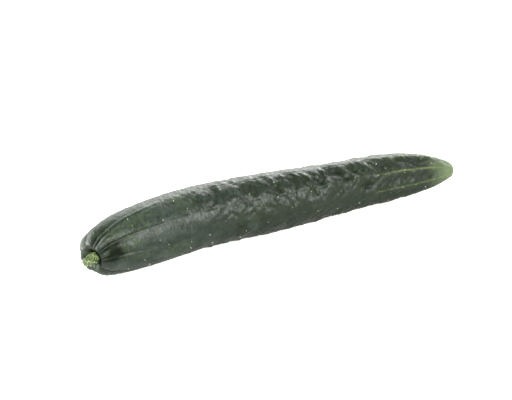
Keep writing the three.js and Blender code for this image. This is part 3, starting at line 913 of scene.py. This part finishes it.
# The stem: the cut stub of the stalk, yellow-green, fluted and rough with blunt bristles. It swells where it
# meets the fruit, and its cut end shows a paler rind round greener pith, with darker strands.
STEM_OUTLINE = [
    (-5.2, 0), (-5.4, 1.65), (-5.1, 1.9), (-4.3, 1.85), (-2.6, 2.0), (-0.6, 2.5),
    (1.2, 3.1), (2.5, 2.6), (3.4, 1.3), (3.6, 0),
]
STEM_RINGS = 36
STEM_SIDES = 40
STEM_SUBDIVISIONS = 1
STEM_FLUTES = 5
STEM_FLUTE_SHARE = 0.15
STEM_FLUTE_FADE = 3
STEM_ROUGH_HEIGHT = 0.26
STEM_ROUGH_SIZE = (0.55, 3.2)
STEM_ROUGH_ROUND = 11
STEM_ROUGH_TWISTS = 3
STEM_ROUGH_RADII = (1, 2)
STEM_FOOT = 1.5
CUT_DISTANCE = -5.0

stub = spin_outline("stem_stub", ring_points(STEM_OUTLINE, STEM_RINGS, 0), STEM_SIDES)
apply_subdivision(stub, STEM_SUBDIVISIONS)
stem_straight = read_points(stub)
stem_distance = stem_straight[:, 0]
stem_radius = np.hypot(stem_straight[:, 1], stem_straight[:, 2])
stem_angle = np.degrees(np.arctan2(stem_straight[:, 2], stem_straight[:, 1]))


def stem_surface(distance, radius, angle):
    """Points of the stem, with its flutes and rough rind, in millimetres."""
    fluted = smoothstep(-distance, 0, STEM_FLUTE_FADE)
    flute = STEM_FLUTE_SHARE * fluted * np.cos(np.radians(STEM_FLUTES * angle))
    pace, twist = STEM_ROUGH_SIZE
    along = np.sin(distance / pace + twist * np.sin(np.radians(STEM_ROUGH_TWISTS * angle)))
    knobs = along * np.sin(np.radians(STEM_ROUGH_ROUND * angle) + distance)
    out = smoothstep(-distance, -STEM_FOOT, STEM_FOOT) * smoothstep(radius, *STEM_ROUGH_RADII)
    return around(distance, radius * (1 + flute) + STEM_ROUGH_HEIGHT * knobs * out, angle)


write_points(stub, stem_surface(stem_distance, stem_radius, stem_angle))
add_attribute(stub, "straight_place", stem_straight)
add_attribute(stub, "from_middle", stem_radius)
bpy.ops.object.select_all(action="DESELECT")
stub.select_set(True)
bpy.ops.object.shade_smooth()

# Cut green stalk: a matt, fibrous rind, yellow-green with dark blotches drawn out along it, and paler and dry
# where it was cut
STALK_RIB = "#6d7f48"
STALK_PALE = "#9fa982"
STALK_DARK = "#22330f"
STALK_PITH = "#5f7440"
STALK_STRETCH = 0.5
STALK_BLOTCH_SIZE = 1.2
STALK_BLOTCH_EDGES = (0.42, 0.62)
STALK_BLOTCH_HEIGHT = 0.25 * MM
STALK_ROUGHNESS = 0.62
CUT_EDGE = 0.3
PITH_RADII = (1.1, 1.9)
STRAND_SIZE = 0.55
STRAND_EDGES = (0.5, 0.62)
STRAND_SHARE = 0.7

stalk_material, tree, shader = new_material("cut_green_stalk")
stalk_place = add_node(tree, "ShaderNodeAttribute", {"attribute_name": "straight_place"}).outputs["Vector"]
middle = add_node(tree, "ShaderNodeAttribute", {"attribute_name": "from_middle"}).outputs["Fac"]
stalk_along = add_node(tree, "ShaderNodeSeparateXYZ", Vector=stalk_place).outputs["X"]
fibres = add_node(tree, "ShaderNodeMapping", Vector=stalk_place, Scale=(STALK_STRETCH, 1, 1)).outputs[0]
blotches = noise(tree, fibres, STALK_BLOTCH_SIZE, detail=4)
stalk_colour = blend_colour(tree, remap(tree, blotches, *STALK_BLOTCH_EDGES), STALK_DARK, STALK_RIB)
on_cut = remap(tree, stalk_along, CUT_DISTANCE - CUT_EDGE, CUT_DISTANCE, 1, 0)
strands = remap(tree, noise(tree, stalk_place, STRAND_SIZE, detail=1), *STRAND_EDGES)
cut_colour = blend_colour(tree, remap(tree, middle, *PITH_RADII), STALK_PITH, STALK_PALE)
cut_colour = blend_colour(tree, reckon(tree, "MULTIPLY", strands, STRAND_SHARE), cut_colour, STALK_DARK)
stalk_colour = blend_colour(tree, on_cut, stalk_colour, cut_colour)
tree.links.new(stalk_colour, shader.inputs["Base Color"])
shader.inputs["Roughness"].default_value = STALK_ROUGHNESS
rind = add_node(tree, "ShaderNodeBump", Strength=1.0, Distance=STALK_BLOTCH_HEIGHT, Height=blotches)
tree.links.new(rind.outputs["Normal"], shader.inputs["Normal"])
stub.data.materials.append(stalk_material)
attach(stub, "root")
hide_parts("stem")


# The stem's bristles: stiff pale hairs that grow all over the rind that stands out of the pit. They are blunt
# and thicker than the fruit's spines, and each has a low foot of its own.
BRISTLE_SEED = 7
BRISTLES = 70
BRISTLE_RADIUS = 0.24 * MM
BRISTLE_HEIGHT = 0.7 * MM
BRISTLE_SIDES = 6
BRISTLE_FOOT_RADIUS = 1.3 * BRISTLE_RADIUS
BRISTLE_FOOT_HEIGHT = 0.3 * BRISTLE_HEIGHT
BRISTLE_ROOT = 0.4 * BRISTLE_HEIGHT
BRISTLE_SMALLEST = 0.7
BRISTLE_LARGEST = 1.2
BRISTLE_STRAY_ANGLE = 10
BRISTLE_FROM = -0.2
BRISTLE_TO = -4.9
STEM_LINE_STEPS = 40
STEM_LINE_END = 1

stem_line = spline_points(STEM_OUTLINE, STEM_LINE_STEPS)
stem_line = stem_line[(stem_line[:, 0] < STEM_LINE_END) & (stem_line[:, 1] > STEM_OUTLINE[1][1])]
stem_line = stem_line[np.argsort(stem_line[:, 0])]


def stem_side(distance, angle):
    """The point of the stem's rind at a distance and an angle, in millimetres."""
    return stem_surface(distance, np.interp(distance, stem_line[:, 0], stem_line[:, 1]), angle)


bristle = make_prickle(
    BRISTLE_RADIUS, BRISTLE_HEIGHT, BRISTLE_SIDES, BRISTLE_FOOT_RADIUS, BRISTLE_FOOT_HEIGHT, BRISTLE_ROOT
)
draw = draw_from(BRISTLE_SEED)
bristle_copies = []
for i in range(1, BRISTLES + 1):
    distance = BRISTLE_FROM + (BRISTLE_TO - BRISTLE_FROM) * (i * SPREAD_ALONG % 1)
    angle = 360 * (i * SPREAD_ROUND % 1) + BRISTLE_STRAY_ANGLE * next(draw)
    here = stem_side(distance, angle)
    along = stem_side(distance + STEP, angle) - here
    across = stem_side(distance, angle + STEP) - here
    outward = Vector(np.cross(across, along)).normalized()
    size = BRISTLE_SMALLEST + (BRISTLE_LARGEST - BRISTLE_SMALLEST) * next(draw)
    bristle_copies.append(copy_at(bristle, here, outward, size))
bristles = join_copies("stem_bristles", bristle_copies, bristle)

# Stalk bristle: stiff plant hair, pale green with a dull shine
BRISTLE_PALE = "#a8b482"
BRISTLE_GREEN = "#5d7537"
BRISTLE_TINT_SIZE = 1.5 * MM
BRISTLE_ROUGHNESS = 0.5

bristle_material, tree, shader = new_material("pale_stalk_bristle")
bristle_place = add_node(tree, "ShaderNodeTexCoord").outputs["Object"]
tint = remap(tree, noise(tree, bristle_place, BRISTLE_TINT_SIZE, detail=1), *TINT_EDGES)
tree.links.new(blend_colour(tree, tint, BRISTLE_PALE, BRISTLE_GREEN), shader.inputs["Base Color"])
shader.inputs["Roughness"].default_value = BRISTLE_ROUGHNESS
bristles.data.materials.append(bristle_material)
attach(bristles, "root")
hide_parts("stem")
